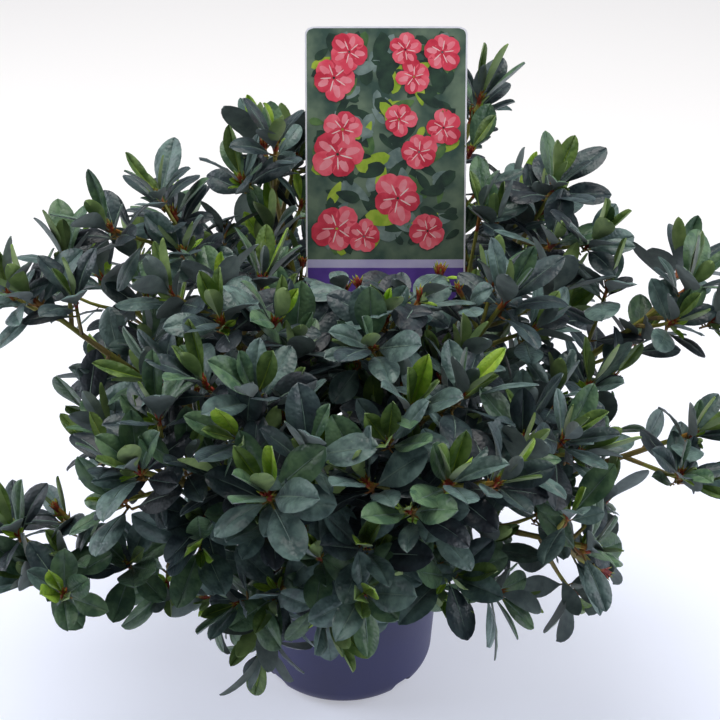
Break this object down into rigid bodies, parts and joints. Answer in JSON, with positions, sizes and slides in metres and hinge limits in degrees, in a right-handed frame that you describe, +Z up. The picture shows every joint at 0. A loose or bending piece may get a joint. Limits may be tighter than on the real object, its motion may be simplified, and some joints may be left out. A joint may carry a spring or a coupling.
{
  "type": "potted azalea shrub",
  "caption": "Evergreen azalea shrub grown in a round plastic nursery pot: short stem, spreading boughs, masses of leaf rosettes and an upright plant label.",
  "frame": {"origin": "centre of the pot's flat underside", "axes": "+Z up along the pot's axis; the label's printed side faces -Y and +X is to its right as it is read"},
  "size_m": [0.4528, 0.4024, 0.3922],
  "materials": {
    "pot": "matte thermoformed polypropylene",
    "potting_mix": "moist fibrous peat mix",
    "label": "printed satin polystyrene card",
    "stem": "rough grey-brown bark",
    "bough": "smooth olive-brown bark",
    "foliage": "leathery evergreen leaves"
  },
  "bodies": {
    "root": {"pot": "pot", "potting_mix": "potting_mix", "plant_label": "label", "main_stem": "stem", "bough_front_left_arch": "bough", "bough_front_left_low": "bough", "bough_front_middle": "bough", "bough_front_right_low": "bough", "bough_right_low": "bough", "bough_left_shoulder": "bough", "bough_front_left_top": "bough", "bough_front_right_top": "bough", "bough_centre_left": "bough", "bough_centre_right": "bough", "bough_right_shoulder": "bough", "bough_right_reach": "bough", "bough_crown_left_front": "bough", "bough_crown_front": "bough", "bough_crown_right_front": "bough", "bough_right_tall": "bough", "bough_crown_right_back": "bough", "bough_left_tall": "bough", "bough_crown_left": "bough", "bough_crown_back_left": "bough", "bough_crown_back_right": "bough", "bough_back_left": "bough", "bough_back_middle_left": "bough", "bough_back_middle_right": "bough", "bough_back_right": "bough", "bough_left_low": "bough", "bough_back_left_low": "bough", "bough_back_right_low": "bough", "foliage_front_left_arch": "foliage", "foliage_front_left_low": "foliage", "foliage_front_middle": "foliage", "foliage_front_right_low": "foliage", "foliage_right_low": "foliage", "foliage_left_shoulder": "foliage", "foliage_front_left_top": "foliage", "foliage_front_right_top": "foliage", "foliage_centre_left": "foliage", "foliage_centre_right": "foliage", "foliage_right_shoulder": "foliage", "foliage_right_reach": "foliage", "foliage_crown_left_front": "foliage", "foliage_crown_front": "foliage", "foliage_crown_right_front": "foliage", "foliage_right_tall": "foliage", "foliage_crown_right_back": "foliage", "foliage_left_tall": "foliage", "foliage_crown_left": "foliage", "foliage_crown_back_left": "foliage", "foliage_crown_back_right": "foliage", "foliage_back_left": "foliage", "foliage_back_middle_left": "foliage", "foliage_back_middle_right": "foliage", "foliage_back_right": "foliage", "foliage_left_low": "foliage", "foliage_back_left_low": "foliage", "foliage_back_right_low": "foliage"}
  },
  "joints": []
}
